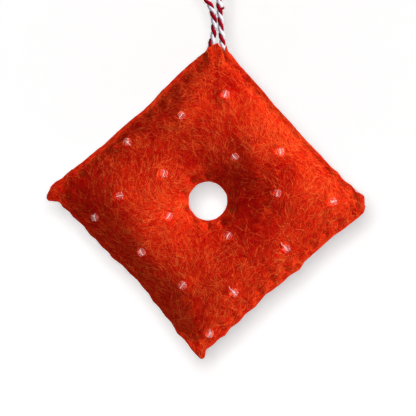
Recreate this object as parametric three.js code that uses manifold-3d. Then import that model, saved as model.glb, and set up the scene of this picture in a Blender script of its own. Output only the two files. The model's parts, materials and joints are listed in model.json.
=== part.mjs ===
import * as THREE from 'three';
import { mergeVertices } from 'three/addons/utils/BufferGeometryUtils.js';
import Module from 'manifold-3d';

// Felt panels: a square hung on its point, sizes in millimetres, angles in degrees
const PANEL_SIDE = 67;
const SIDE_DRAW_IN = 0.8;
const HANG_TILT = 3;
const FELT_THICKNESS = 1.4;
const CROWN_HEIGHT = 7.2;
const CROWN_LEAN = 1.3;
const CROWN_FULLNESS = 0.8;
const CORNER_EASE = 1.5;
const SEAM_GAP = 0.3;
const HOLE_DIAMETER = 12;
const HOLE_SHIFT_RIGHT = -0.5;
const HOLE_SHIFT_UP = -0.7;
const STUFFING_GAP = 0.95;
const STUFFING_LEAST = 0.2;

// Whip stitching along the sides and round the hole
const THREAD_DIAMETER = 0.7;
const EDGE_STITCH_COUNT = 12;
const EDGE_STITCH_START = 4.5;
const EDGE_STITCH_INSET = 2;
const RIM_STITCH_COUNT = 10;
const RIM_STITCH_INSET = 1.6;

// Seed beads and the threads that hold them
const BEAD_DIAMETER = 2.3;
const BEAD_LENGTH = 2;
const BEAD_BORE = 0.8;
const BEAD_THREAD_DIAMETER = 0.25;
const BEAD_THREAD_SLACK = 0.15;

// Twine loop, heights measured up from the top corner
const TWINE_DIAMETER = 1.6;
const LOOP_RISE = 60;
const TWIST_RISE = 6.4;
const SWING_RISE = 2;
const KNOT_DEPTH = 14;
const KNOT_RADIUS = 2;
const TAIL_SPREAD = 1.1;

// Clearances between neighbouring pieces
const CLEARANCE = 0.3;
const THREAD_CLEARANCE = 0.2;

// Fineness of the crowned felt and of the round pieces
const RAYS_PER_SIDE = 10;
const STUFFING_RAYS = 8;
const THREAD_SIDES = 5;
const BEAD_TURNS = 10;
const BEAD_PROFILE = 8;
const KNOT_STEPS = 36;
const KNOT_SIDES = 6;
const FELT_STEP = 0.01;
const MERGE_GAP = 1e-4;
const NOTCH_SIDES = 12;
const SHARPEST_MITRE = 0.6;
const CROWN_STEPS = [0.05, 0.16, 0.32, 0.5, 0.68, 0.84, 0.95];
const STUFFING_STEPS = [0.1, 0.25, 0.5, 0.75, 0.9];

// Bead places: side (0 upper right, then clockwise), share along that side,
// share of the way from the hole to that side, and the turn of the bore
const BEAD_PLACES = [
  [0, 0.09, 0.68, 70],
  [3, 0.72, 0.66, 45],
  [3, 0.38, 0.82, -45],
  [0, 0.575, 0.7, 90],
  [0, 0.36, 0.34, -45],
  [3, 0.345, 0.35, 80],
  [2, 0.985, 0.5, 12],
  [0, 0.87, 0.42, 75],
  [2, 0.825, 0.83, 85],
  [2, 0.67, 0.26, 50],
  [0, 0.975, 0.76, 15],
  [1, 0.61, 0.25, 60],
  [2, 0.53, 0.71, -60],
  [2, 0.2, 0.63, 50],
  [1, 0.755, 0.72, -50],
  [1, 0.365, 0.74, -50],
  [1, 0.955, 0.86, 85],
];

// Twine route up the left strand, over the loop and down the right: right of the
// top corner, behind it, and above it, or a share of the loop's rise over the top
const TWINE_LEFT = [
  [-1.9, 0, -7],
  [-2.1, 0, -4],
  [-2.1, 0, -1.4],
  [-1.5, 0, 0.5],
  [-1.15, 0, 2],
  [-1.05, 0, 4.2],
  [-1.05, 0, 6.4],
  [-1.35, 0, 8],
  [-2.2, 0, 10.6],
  [-3.6, 0, 12.8],
];
const TWINE_TOP = [
  [-7.4, 0.6, 0.35],
  [-9.9, 1, 0.55],
  [-10.4, 0.8, 0.75],
  [-8.2, 0.3, 0.93],
  [-2.5, 0, 1.013],
  [3.1, -0.3, 0.93],
  [5.2, -0.8, 0.75],
  [4.5, -1, 0.55],
  [2.5, -0.6, 0.35],
];
const TWINE_RIGHT = [
  [0.45, 0, 12.5],
  [0.55, 0, 10],
  [0.7, 0, 8.2],
  [0.9, 0, 6.4],
  [1.0, 0, 4.2],
  [1.25, 0, 2],
  [1.5, 0, 0.5],
  [1.8, 0, -1.4],
  [1.8, 0, -4],
  [1.2, 0, -7],
];
const TWINE_STEPS = 66;
const TWINE_SIDES = 8;

// Colours and finish
const felt = new THREE.MeshStandardMaterial({ color: 0xc8391b, roughness: 0.95, metalness: 0 });
const feltBack = new THREE.MeshStandardMaterial({ color: 0xbf3318, roughness: 0.95, metalness: 0 });
const fibrefill = new THREE.MeshStandardMaterial({ color: 0xf2efe8, roughness: 1, metalness: 0 });
const redThread = new THREE.MeshStandardMaterial({ color: 0xd8471f, roughness: 0.85, metalness: 0 });
const glass = new THREE.MeshStandardMaterial({ color: 0xe9dcd6, roughness: 0.1, metalness: 0 });
const clearThread = new THREE.MeshStandardMaterial({ color: 0xf4ece6, roughness: 0.4, metalness: 0 });
const twineYarn = new THREE.MeshStandardMaterial({ color: 0xd9857a, roughness: 0.9, metalness: 0 });

const wasm = await Module();
wasm.setup();

// Solid body from a geometry, and back again
function solidOf(geometry) {
  const bare = new THREE.BufferGeometry();
  bare.setAttribute('position', geometry.getAttribute('position'));
  if (geometry.index) bare.setIndex(geometry.index);
  const merged = mergeVertices(bare, MERGE_GAP);
  const vertProperties = new Float32Array(merged.getAttribute('position').array);
  const triVerts = new Uint32Array(merged.index.array);
  return new wasm.Manifold(new wasm.Mesh({ numProp: 3, vertProperties, triVerts }));
}

function geometryOf(solid) {
  const mesh = solid.getMesh();
  const geometry = new THREE.BufferGeometry();
  geometry.setAttribute('position', new THREE.Float32BufferAttribute(mesh.vertProperties, 3));
  geometry.setIndex(new THREE.Uint32BufferAttribute(mesh.triVerts, 1));
  geometry.computeVertexNormals();
  return geometry;
}

// Outline of the square: corners clockwise from the top, sides drawn in between them
const tilt = THREE.MathUtils.degToRad(HANG_TILT);
const cornerReach = PANEL_SIDE / Math.SQRT2;
const holeCentre = new THREE.Vector2(HOLE_SHIFT_RIGHT, HOLE_SHIFT_UP);
const holeRadius = HOLE_DIAMETER / 2;

function corner(side) {
  const bearing = tilt + (side * Math.PI) / 2;
  return new THREE.Vector2(Math.sin(bearing), Math.cos(bearing)).multiplyScalar(cornerReach);
}

function outward(side) {
  return corner(side).add(corner(side + 1)).normalize();
}

function edgePoint(side, along) {
  const drawIn = 4 * SIDE_DRAW_IN * along * (1 - along);
  return corner(side).lerp(corner(side + 1), along).addScaledVector(outward(side), -drawIn);
}

// Lines from the hole's rim to the sides, with the flat sewn strips at both ends
const rimFlat = RIM_STITCH_INSET + THREAD_DIAMETER / 2 + CLEARANCE;
const edgeFlat = EDGE_STITCH_INSET + THREAD_DIAMETER / 2 + CLEARANCE;
const seamHeight = SEAM_GAP / 2;

function rayAt(side, along) {
  const direction = edgePoint(side, along).sub(holeCentre);
  const length = direction.length() - holeRadius;
  direction.normalize();
  const start = holeCentre.clone().addScaledVector(direction, holeRadius);
  const crownEnd = length - edgeFlat / direction.dot(outward(side));
  return { start, direction, length, crownEnd };
}

function crownDistance(ray, share) {
  return rimFlat + share * (ray.crownEnd - rimFlat);
}

// How far a place lies inside the sewn strips, eased where two sides meet
function insideSides(place) {
  let sum = 0;
  for (let side = 0; side < 4; side += 1) {
    const run = corner(side + 1).sub(corner(side));
    const along = place.clone().sub(corner(side)).dot(run) / run.lengthSq();
    const sideLine = edgePoint(side, THREE.MathUtils.clamp(along, 0, 1));
    const inside = sideLine.sub(place).dot(outward(side)) - edgeFlat;
    sum += Math.exp(-inside / CORNER_EASE);
  }
  return Math.max(-CORNER_EASE * Math.log(sum), 0);
}

// Crown of the felt's inner face, lowest at the sewn strips and leaning towards the sides
function innerHeight(ray, distance) {
  const place = ray.start.clone().addScaledVector(ray.direction, distance);
  const fromRim = Math.max(distance - rimFlat, 0);
  const fromSides = insideSides(place);
  const share = fromRim === 0 ? 0 : fromRim / (fromRim + fromSides);
  const rise = CROWN_HEIGHT - FELT_THICKNESS - seamHeight;
  const wave = Math.max(Math.sin(Math.PI * Math.pow(share, CROWN_LEAN)), 0);
  return seamHeight + rise * Math.pow(wave, CROWN_FULLNESS);
}

function raysRound(perSide) {
  const rays = [];
  for (let side = 0; side < 4; side += 1) {
    for (let i = 0; i < perSide; i += 1) rays.push(rayAt(side, i / perSide));
  }
  return rays;
}

// Closed ring between a back face and a front face over the same lines
function ringGeometry(rays, distancesOf, backOf, frontOf) {
  const positions = [];
  const triangles = [];
  const rings = distancesOf(rays[0]).length;
  const layer = rays.length * rings;
  for (const heightOf of [backOf, frontOf]) {
    for (const ray of rays) {
      for (const distance of distancesOf(ray)) {
        const place = ray.start.clone().addScaledVector(ray.direction, distance);
        positions.push(place.x, heightOf(ray, distance), place.y);
      }
    }
  }
  for (let i = 0; i < rays.length; i += 1) {
    const here = i * rings;
    const next = ((i + 1) % rays.length) * rings;
    for (let j = 0; j < rings - 1; j += 1) {
      const a = here + j;
      const b = here + j + 1;
      const c = next + j;
      const d = next + j + 1;
      triangles.push(a, b, c, c, b, d);
      triangles.push(layer + a, layer + c, layer + b, layer + c, layer + d, layer + b);
    }
    triangles.push(layer + here, here, layer + next, layer + next, here, next);
    const end = here + rings - 1;
    const endNext = next + rings - 1;
    triangles.push(layer + end, layer + endNext, end, layer + endNext, endNext, end);
  }
  const geometry = new THREE.BufferGeometry();
  geometry.setAttribute('position', new THREE.Float32BufferAttribute(positions, 3));
  geometry.setIndex(triangles);
  return geometry;
}

// Round thread through a list of points; across is the seam's own direction at each point
function threadGeometry(points, across, diameter, closed) {
  const sides = THREAD_SIDES;
  const positions = [];
  const triangles = [];
  const count = points.length;
  const radius = diameter / 2;
  for (let i = 0; i < count; i += 1) {
    const before = points[closed ? (i + count - 1) % count : Math.max(i - 1, 0)];
    const after = points[closed ? (i + 1) % count : Math.min(i + 1, count - 1)];
    const into = points[i].clone().sub(before).normalize();
    const out = after.clone().sub(points[i]).normalize();
    if (into.lengthSq() === 0) into.copy(out);
    if (out.lengthSq() === 0) out.copy(into);
    const tangent = into.clone().add(out).normalize();
    const bend = across[i].clone().cross(tangent).normalize();
    const level = tangent.clone().cross(bend);
    const widen = 1 / Math.max(tangent.dot(out), SHARPEST_MITRE);
    for (let k = 0; k < sides; k += 1) {
      const turn = (k * 2 * Math.PI) / sides;
      const place = points[i].clone();
      place.addScaledVector(bend, radius * widen * Math.cos(turn));
      place.addScaledVector(level, radius * Math.sin(turn));
      positions.push(place.x, place.y, place.z);
    }
  }
  const spans = closed ? count : count - 1;
  for (let i = 0; i < spans; i += 1) {
    for (let k = 0; k < sides; k += 1) {
      const a = i * sides + k;
      const b = i * sides + ((k + 1) % sides);
      const c = ((i + 1) % count) * sides + k;
      const d = ((i + 1) % count) * sides + ((k + 1) % sides);
      triangles.push(a, b, c, b, d, c);
    }
  }
  if (!closed) {
    const last = (count - 1) * sides;
    for (let k = 1; k < sides - 1; k += 1) {
      triangles.push(0, k + 1, k);
      triangles.push(last, last + k, last + k + 1);
    }
  }
  const geometry = new THREE.BufferGeometry();
  geometry.setAttribute('position', new THREE.Float32BufferAttribute(positions, 3));
  geometry.setIndex(triangles);
  return geometry;
}

// Square-sided needle hole for a thread, through the felt at a place along a direction
function needleHole(place, direction, length, threadDiameter) {
  const reach = (threadDiameter / 2 + THREAD_CLEARANCE) * Math.SQRT2;
  const hole = new THREE.CylinderGeometry(reach, reach, length, 4);
  const turn = new THREE.Quaternion().setFromUnitVectors(new THREE.Vector3(0, 1, 0), direction);
  hole.applyQuaternion(turn);
  hole.translate(place.x, place.y, place.z);
  return solidOf(hole);
}

const ornament = new THREE.Group();
ornament.name = 'felt_ornament';

// The hang point is the origin, and the square's middle hangs straight below it
const topCorner = corner(0);
const pillow = new THREE.Group();
pillow.name = 'pillow';
pillow.position.set(0, 0, -LOOP_RISE - topCorner.y);
ornament.add(pillow);

function addTo(group, name, geometry, material) {
  const mesh = new THREE.Mesh(geometry, material);
  mesh.name = name;
  group.add(mesh);
  return mesh;
}

// Seam heights that the whip stitches run at, clear of both felt faces
const stitchLevel = seamHeight + FELT_THICKNESS + THREAD_CLEARANCE + THREAD_DIAMETER / 2;
const stitchReach = THREAD_CLEARANCE + THREAD_DIAMETER / 2;
const backward = new THREE.Vector3(0, 1, 0);
const needleHoles = [];

function upright(flat, depth) {
  return new THREE.Vector3(flat.x, depth, flat.y);
}

// Edge stitching: one thread over all four sides, leaving the top corner free for the twine
const edgeRoute = [];
const edgeAcross = [];
const stitchPitch = (PANEL_SIDE - 2 * EDGE_STITCH_START) / (EDGE_STITCH_COUNT - 1);
const pierceAlong = (i) => (EDGE_STITCH_START + i * stitchPitch) / PANEL_SIDE;

for (let side = 0; side < 4; side += 1) {
  const first = side === 0 ? 1 : 0;
  const last = side === 3 ? EDGE_STITCH_COUNT - 2 : EDGE_STITCH_COUNT - 1;
  const sideRun = corner(side + 1).sub(corner(side)).normalize();
  for (let i = first; i <= last; i += 1) {
    const pierce = edgePoint(side, pierceAlong(i)).addScaledVector(outward(side), -EDGE_STITCH_INSET);
    const starts = side === 0 && i === first;
    const ends = side === 3 && i === last;
    edgeRoute.push(upright(pierce, starts ? 0 : stitchLevel));
    edgeRoute.push(upright(pierce, ends ? 0 : -stitchLevel));
    edgeAcross.push(upright(sideRun, 0), upright(sideRun, 0));
    needleHoles.push(needleHole(upright(pierce, 0), backward, 4 * stitchLevel, THREAD_DIAMETER));
    if (ends) continue;
    const midway = (pierceAlong(i) + pierceAlong(i + 1)) / 2;
    const turnsCorner = i === EDGE_STITCH_COUNT - 1;
    const wrap = turnsCorner ? corner(side + 1) : edgePoint(side, midway);
    const wrapOut = turnsCorner ? corner(side + 1).normalize() : outward(side);
    const wrapRun = turnsCorner ? outward(side + 1).sub(outward(side)).normalize() : sideRun;
    wrap.addScaledVector(wrapOut, stitchReach);
    edgeRoute.push(upright(wrap, -stitchLevel), upright(wrap, stitchLevel));
    edgeAcross.push(upright(wrapRun, 0), upright(wrapRun, 0));
  }
}
const edgeShape = threadGeometry(edgeRoute, edgeAcross, THREAD_DIAMETER, false);
addTo(pillow, 'edge_stitching', edgeShape, redThread);

// Rim stitching: one closed thread round the hole
const rimRoute = [];
const rimAcross = [];
for (let i = 0; i < RIM_STITCH_COUNT; i += 1) {
  const bearing = (i * 2 * Math.PI) / RIM_STITCH_COUNT;
  const halfway = bearing + Math.PI / RIM_STITCH_COUNT;
  const ray = new THREE.Vector2(Math.sin(bearing), Math.cos(bearing));
  const rayHalf = new THREE.Vector2(Math.sin(halfway), Math.cos(halfway));
  const pierce = holeCentre.clone().addScaledVector(ray, holeRadius + RIM_STITCH_INSET);
  const wrap = holeCentre.clone().addScaledVector(rayHalf, holeRadius - stitchReach);
  rimRoute.push(upright(pierce, stitchLevel), upright(pierce, -stitchLevel));
  rimRoute.push(upright(wrap, -stitchLevel), upright(wrap, stitchLevel));
  const run = new THREE.Vector3(ray.y, 0, -ray.x);
  const runHalf = new THREE.Vector3(rayHalf.y, 0, -rayHalf.x);
  rimAcross.push(run, run, runHalf, runHalf);
  needleHoles.push(needleHole(upright(pierce, 0), backward, 4 * stitchLevel, THREAD_DIAMETER));
}
const rimShape = threadGeometry(rimRoute, rimAcross, THREAD_DIAMETER, true);
addTo(pillow, 'rim_stitching', rimShape, redThread);

// Seed beads on the front felt, each held by its own tied stitch
const beadHalf = (BEAD_DIAMETER - BEAD_BORE) / 4;
const beadProfile = [];
for (let i = 0; i <= BEAD_PROFILE; i += 1) {
  const turn = (i * 2 * Math.PI) / BEAD_PROFILE;
  const outFrom = BEAD_BORE / 2 + beadHalf;
  const endward = (BEAD_LENGTH / 2) * Math.sin(turn);
  beadProfile.push(new THREE.Vector2(outFrom + beadHalf * Math.cos(turn), endward));
}
const beadLathe = new THREE.LatheGeometry(beadProfile, BEAD_TURNS).deleteAttribute('uv');
const beadShape = mergeVertices(beadLathe, MERGE_GAP);

function feltPoint(side, along, share) {
  const ray = rayAt(side, along);
  const distance = share * ray.length;
  const flat = ray.start.clone().addScaledVector(ray.direction, distance);
  return upright(flat, -innerHeight(ray, distance) - FELT_THICKNESS);
}

const beadHoles = [];
BEAD_PLACES.forEach(([side, along, share, boreTurn], index) => {
  const number = String(index + 1).padStart(2, '0');
  const place = feltPoint(side, along, share);
  const alongFelt = feltPoint(side, along + FELT_STEP, share);
  alongFelt.sub(feltPoint(side, along - FELT_STEP, share));
  const outFelt = feltPoint(side, along, share + FELT_STEP);
  outFelt.sub(feltPoint(side, along, share - FELT_STEP));
  const normal = alongFelt.cross(outFelt).normalize();
  if (normal.y > 0) normal.negate();
  const turn = THREE.MathUtils.degToRad(boreTurn);
  const bore = new THREE.Vector3(Math.cos(turn), 0, Math.sin(turn));
  bore.addScaledVector(normal, -bore.dot(normal)).normalize();
  const across = bore.clone().cross(normal);
  const centre = place.clone().addScaledVector(normal, BEAD_DIAMETER / 2 + CLEARANCE);
  const bead = addTo(pillow, 'seed_bead_' + number, beadShape.clone(), glass.clone());
  bead.position.copy(centre);
  bead.quaternion.setFromUnitVectors(new THREE.Vector3(0, 1, 0), bore);

  const legReach = BEAD_LENGTH / 2 + CLEARANCE;
  const feltDepth = BEAD_DIAMETER / 2 + CLEARANCE + FELT_THICKNESS * Math.abs(normal.y);
  const legDepth = feltDepth + THREAD_CLEARANCE + BEAD_THREAD_SLACK + BEAD_THREAD_DIAMETER / 2;
  const stitch = [
    [-BEAD_LENGTH / 4, 0],
    [BEAD_LENGTH / 4, 0],
    [legReach, BEAD_DIAMETER / 4],
    [legReach, legDepth],
    [-legReach, legDepth],
    [-legReach, BEAD_DIAMETER / 4],
  ];
  const stitchRoute = stitch.map(([run, depth]) => {
    return centre.clone().addScaledVector(bore, run).addScaledVector(normal, -depth);
  });
  const stitchAcross = stitch.map(() => across);
  const stitchShape = threadGeometry(stitchRoute, stitchAcross, BEAD_THREAD_DIAMETER, true);
  addTo(pillow, 'bead_thread_' + number, stitchShape, clearThread.clone());
  for (const end of [-legReach, legReach]) {
    const holePlace = place.clone().addScaledVector(bore, end);
    beadHoles.push(needleHole(holePlace, normal, 4 * FELT_THICKNESS, BEAD_THREAD_DIAMETER));
  }
});

// Twine: one route, parted at the twist and at the swing; the knot is half as wide again as its radius
const knotReach = KNOT_RADIUS * 1.5 + TWINE_DIAMETER / 2 + CLEARANCE;
const knotRight = -KNOT_DEPTH * Math.sin(tilt);
const tailEnd = knotReach - KNOT_DEPTH;
const routePoints = [new THREE.Vector3(knotRight - TAIL_SPREAD, 0, tailEnd)];
for (const [right, behind, up] of TWINE_LEFT) routePoints.push(new THREE.Vector3(right, behind, up));
for (const [right, behind, share] of TWINE_TOP) {
  routePoints.push(new THREE.Vector3(right, behind, share * LOOP_RISE));
}
for (const [right, behind, up] of TWINE_RIGHT) routePoints.push(new THREE.Vector3(right, behind, up));
routePoints.push(new THREE.Vector3(knotRight + TAIL_SPREAD, 0, tailEnd));
const twineRoute = new THREE.CatmullRomCurve3(routePoints, false, 'centripetal');

function twineSolid(diameter) {
  const section = new THREE.Shape();
  section.absarc(0, 0, diameter / 2, 0, 2 * Math.PI, false);
  const options = { extrudePath: twineRoute, steps: TWINE_STEPS, curveSegments: TWINE_SIDES / 2 };
  return solidOf(new THREE.ExtrudeGeometry(section, options));
}

// Block seen from the right: outline points are behind and above the top corner
function sideBlock(outline) {
  const shape = new THREE.Shape(outline.map(([behind, up]) => new THREE.Vector2(behind, up)));
  const width = 2 * PANEL_SIDE;
  const block = new THREE.ExtrudeGeometry(shape, { depth: width, bevelEnabled: false });
  const axes = new THREE.Matrix4().makeBasis(
    new THREE.Vector3(0, 1, 0),
    new THREE.Vector3(0, 0, 1),
    new THREE.Vector3(1, 0, 0),
  );
  block.translate(0, 0, -width / 2);
  block.applyMatrix4(axes);
  return solidOf(block);
}

// The strands meet at the swing with roof-shaped ends, so they can fold either way
const partGap = CLEARANCE / 2;
const deep = TWINE_DIAMETER * 3;
const twistBlock = sideBlock([
  [-deep, TWIST_RISE + partGap],
  [deep, TWIST_RISE + partGap],
  [deep, 2 * LOOP_RISE],
  [-deep, 2 * LOOP_RISE],
]);
const legBlock = sideBlock([
  [0, SWING_RISE + partGap],
  [deep, SWING_RISE + partGap + deep],
  [deep, SWING_RISE + partGap + 2 * deep],
  [-deep, SWING_RISE + partGap + 2 * deep],
  [-deep, SWING_RISE + partGap + deep],
]);
const belowTwist = sideBlock([
  [-deep, -2 * LOOP_RISE],
  [deep, -2 * LOOP_RISE],
  [deep, TWIST_RISE - partGap],
  [-deep, TWIST_RISE - partGap],
]);
const tailBlock = sideBlock([
  [0, SWING_RISE - partGap],
  [-deep, SWING_RISE - partGap - deep],
  [-deep, -2 * LOOP_RISE],
  [deep, -2 * LOOP_RISE],
  [deep, SWING_RISE - partGap - deep],
]);

function leftAndRight(solid) {
  const strands = solid.decompose();
  const middle = (strand) => strand.boundingBox().min[0] + strand.boundingBox().max[0];
  strands.sort((one, other) => middle(one) - middle(other));
  return strands;
}

const twine = twineSolid(TWINE_DIAMETER);
const twineRoom = twineSolid(TWINE_DIAMETER + 2 * CLEARANCE);
const [legLeft, legRight] = leftAndRight(twine.intersect(legBlock).intersect(belowTwist));
const [tailLeft, tailRight] = leftAndRight(twine.intersect(tailBlock));

const hanger = new THREE.Group();
hanger.name = 'hanger';
hanger.position.set(topCorner.x, 0, -LOOP_RISE);
ornament.add(hanger);
addTo(hanger, 'twine_loop', geometryOf(twine.intersect(twistBlock)), twineYarn);
addTo(hanger, 'twine_leg_left', geometryOf(legLeft), twineYarn);
addTo(hanger, 'twine_leg_right', geometryOf(legRight), twineYarn);
addTo(hanger, 'twine_tail_left', geometryOf(tailLeft), twineYarn);
addTo(hanger, 'twine_tail_right', geometryOf(tailRight), twineYarn);

// Knot that ties the two tails together inside the corner
const knotPlace = topCorner.clone().setLength(cornerReach - KNOT_DEPTH);
const knotHalf = TWINE_DIAMETER / 2;
const knotShape = new THREE.TorusKnotGeometry(KNOT_RADIUS, knotHalf, KNOT_STEPS, KNOT_SIDES, 2, 3);
knotShape.rotateX(Math.PI / 2);
knotShape.translate(knotPlace.x, 0, knotPlace.y);
addTo(pillow, 'twine_knot', geometryOf(solidOf(knotShape)), twineYarn);

// Stuffing, with a notch for the knot and the tails
const notchRound = new THREE.CylinderGeometry(knotReach, knotReach, 4 * CROWN_HEIGHT, NOTCH_SIDES);
const notchSlot = new THREE.BoxGeometry(2 * knotReach, 4 * CROWN_HEIGHT, 2 * KNOT_DEPTH);
notchSlot.translate(0, 0, KNOT_DEPTH);
const notch = solidOf(notchRound).add(solidOf(notchSlot));
const notchTurned = notch.rotate([0, HANG_TILT, 0]).translate([knotPlace.x, 0, knotPlace.y]);
const stuffingHeight = (ray, distance) => {
  return Math.max(innerHeight(ray, distance) - STUFFING_GAP, STUFFING_LEAST);
};
const stuffingRing = ringGeometry(
  raysRound(STUFFING_RAYS),
  (ray) => STUFFING_STEPS.map((share) => crownDistance(ray, share)),
  (ray, distance) => stuffingHeight(ray, distance),
  (ray, distance) => -stuffingHeight(ray, distance),
);
addTo(pillow, 'stuffing', geometryOf(solidOf(stuffingRing).subtract(notchTurned)), fibrefill);

// Felt panels, pierced where the threads pass and pressed hollow round the twine
const crownDistances = (ray) => {
  const crown = [0, ...CROWN_STEPS, 1].map((share) => crownDistance(ray, share));
  return [0, ...crown, ray.length];
};
const outerHeight = (ray, distance) => innerHeight(ray, distance) + FELT_THICKNESS;
const panelRays = raysRound(RAYS_PER_SIDE);
const tailRoom = twineRoom.translate([topCorner.x, 0, topCorner.y]);
const seamCuts = wasm.Manifold.union([...needleHoles, tailRoom]);
const frontCuts = wasm.Manifold.union([seamCuts, ...beadHoles]);
const backRing = ringGeometry(panelRays, crownDistances, outerHeight, innerHeight);
const frontRing = ringGeometry(
  panelRays,
  crownDistances,
  (ray, distance) => -innerHeight(ray, distance),
  (ray, distance) => -outerHeight(ray, distance),
);
addTo(pillow, 'front_panel', geometryOf(solidOf(frontRing).subtract(frontCuts)), felt);
addTo(pillow, 'back_panel', geometryOf(solidOf(backRing).subtract(seamCuts)), feltBack);

export default ornament;
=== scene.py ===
import json
import math

import bpy
import numpy as np
from mathutils import Matrix, Vector, noise
from mathutils.bvhtree import BVHTree


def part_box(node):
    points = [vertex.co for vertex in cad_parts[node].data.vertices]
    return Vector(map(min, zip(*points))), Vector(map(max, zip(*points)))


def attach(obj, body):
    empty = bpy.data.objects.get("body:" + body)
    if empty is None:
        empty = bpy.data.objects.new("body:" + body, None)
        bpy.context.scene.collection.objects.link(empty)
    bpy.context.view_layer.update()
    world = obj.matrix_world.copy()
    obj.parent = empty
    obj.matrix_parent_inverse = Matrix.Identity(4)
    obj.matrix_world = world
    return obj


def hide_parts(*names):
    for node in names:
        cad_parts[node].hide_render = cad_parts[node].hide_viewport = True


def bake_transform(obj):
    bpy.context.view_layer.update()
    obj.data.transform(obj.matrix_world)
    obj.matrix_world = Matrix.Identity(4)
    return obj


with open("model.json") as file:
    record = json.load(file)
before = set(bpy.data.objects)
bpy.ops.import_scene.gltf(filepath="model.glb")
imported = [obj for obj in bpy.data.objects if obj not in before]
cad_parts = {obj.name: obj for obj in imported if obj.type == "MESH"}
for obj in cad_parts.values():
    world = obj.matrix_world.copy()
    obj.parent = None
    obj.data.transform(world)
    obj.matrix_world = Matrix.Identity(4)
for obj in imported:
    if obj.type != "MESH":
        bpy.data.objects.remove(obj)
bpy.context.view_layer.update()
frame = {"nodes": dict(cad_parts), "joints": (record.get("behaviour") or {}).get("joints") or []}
scene = bpy.context.scene
bpy.ops.object.select_all(action="DESELECT")

# Lengths are in millimetres until a mesh is made, and meshes are in metres
MM = 0.001

# Felt square, hung on its point: cut at 70 mm, it draws in to 67 when it is sewn and filled
PANEL_SIDE = 67.0
SIDE_DRAW_IN = 0.8
HANG_TILT = math.radians(3)
FELT_THICKNESS = 1.4
CROWN_HEIGHT = 7.2
CROWN_LEAN = 1.3
CROWN_FULLNESS = 0.8
CORNER_EASE = 1.0
INNER_EASE = 0.4
SEAM_GAP = 0.3
SEWN_GAP = 0.04
SEAM_PRESS = 0.11
HOLE_RADIUS = 6.1
HOLE_MIDDLE = np.array([-0.4, -0.85])
RIM_FLAT = 1.3
EDGE_FLAT = 2.2

# Whip stitches along the sides and round the hole
STITCHES_PER_SIDE = 12
EDGE_STITCH_START = 4.5
EDGE_STITCH_INSET = 2.0
RIM_STITCHES = 10
RIM_STITCH_INSET = 1.6
THREAD_PLY_RADIUS = 0.15
THREAD_PLY_OFFSET = 0.95 * THREAD_PLY_RADIUS
THREAD_TWIST = 1.3

# Seed beads and the thread through each bore
BEAD_DIAMETER = 2.3
BEAD_LENGTH = 2.0
BEAD_BORE = 0.8
BEAD_THREAD_RADIUS = 0.09
BEAD_SINK = 0.3
TAILED_BEADS = ("15", "16")

# Two-ply twine
LOOP_RISE = 60.0
PLY_RADIUS = 0.47
PLY_FLATNESS = 1.42
PLY_OFFSET = 0.43
TWINE_TWIST = 4.36
TWIST_START = -1.1
KNOT_DEPTH = 14.0
KNOT_RADIUS = 2.0
TAIL_SPREAD = 1.1
TAIL_END = -9.9

# Fineness of the felt sheets
RAYS_PER_SIDE = 32
RINGS = 20

CORNER_REACH = PANEL_SIDE / math.sqrt(2)
TOP_CORNER = np.array([CORNER_REACH * math.sin(HANG_TILT), 0.0, -LOOP_RISE])
PILLOW_MIDDLE = np.array([0.0, 0.0, -LOOP_RISE - CORNER_REACH * math.cos(HANG_TILT)])


def unit(vector):
    return vector / np.linalg.norm(vector, axis=-1, keepdims=True)


# Meshes and modifiers

def new_piece(name, points, faces, uvs=None):
    mesh = bpy.data.meshes.new(name)
    mesh.from_pydata((np.asarray(points) * MM).tolist(), [], faces)
    if uvs is not None:
        layer = mesh.uv_layers.new(name="OFBake")
        layer.data.foreach_set("uv", np.asarray(uvs, np.float32).ravel())
    mesh.update()
    piece = bpy.data.objects.new(name, mesh)
    scene.collection.objects.link(piece)
    return piece


def points_of(piece):
    points = np.zeros(len(piece.data.vertices) * 3, np.float32)
    piece.data.vertices.foreach_get("co", points)
    return points.reshape(-1, 3).astype(float) / MM


def set_points(piece, points):
    piece.data.vertices.foreach_set("co", (points * MM).astype(np.float32).ravel())
    piece.data.update()


def make_active(piece):
    bpy.ops.object.select_all(action="DESELECT")
    piece.select_set(True)
    bpy.context.view_layer.objects.active = piece


def apply_modifiers(piece):
    make_active(piece)
    for modifier in list(piece.modifiers):
        bpy.ops.object.modifier_apply(modifier=modifier.name)


def subdivide(piece, levels):
    rounded = piece.modifiers.new("Subdivision", "SUBSURF")
    rounded.levels = rounded.render_levels = levels
    apply_modifiers(piece)


def smooth_shade(piece):
    piece.data.polygons.foreach_set("use_smooth", [True] * len(piece.data.polygons))


# Cords and threads swept along a route

def smooth_route(points, spacing):
    knots = np.array(points, float)
    knots = np.vstack([2 * knots[0] - knots[1], knots, 2 * knots[-1] - knots[-2]])
    route = []
    for a, b, c, d in zip(knots[:-3], knots[1:-2], knots[2:-1], knots[3:]):
        t1 = np.linalg.norm(b - a) ** 0.5
        t2 = t1 + np.linalg.norm(c - b) ** 0.5
        t3 = t2 + np.linalg.norm(d - c) ** 0.5
        steps = max(2, round(np.linalg.norm(c - b) / spacing))
        t = np.linspace(t1, t2, steps, endpoint=False)[:, None]
        ab = (a * (t1 - t) + b * t) / t1
        bc = (b * (t2 - t) + c * (t - t1)) / (t2 - t1)
        cd = (c * (t3 - t) + d * (t - t2)) / (t3 - t2)
        abc = (ab * (t2 - t) + bc * t) / t2
        bcd = (bc * (t3 - t) + cd * (t - t1)) / (t3 - t1)
        route.append((abc * (t2 - t) + bcd * (t - t1)) / (t2 - t1))
    return np.vstack(route + [knots[-2:-1]])


def lengths_along(path):
    steps = np.linalg.norm(np.diff(path, axis=0), axis=1)
    return np.concatenate([[0.0], np.cumsum(steps)])


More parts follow.
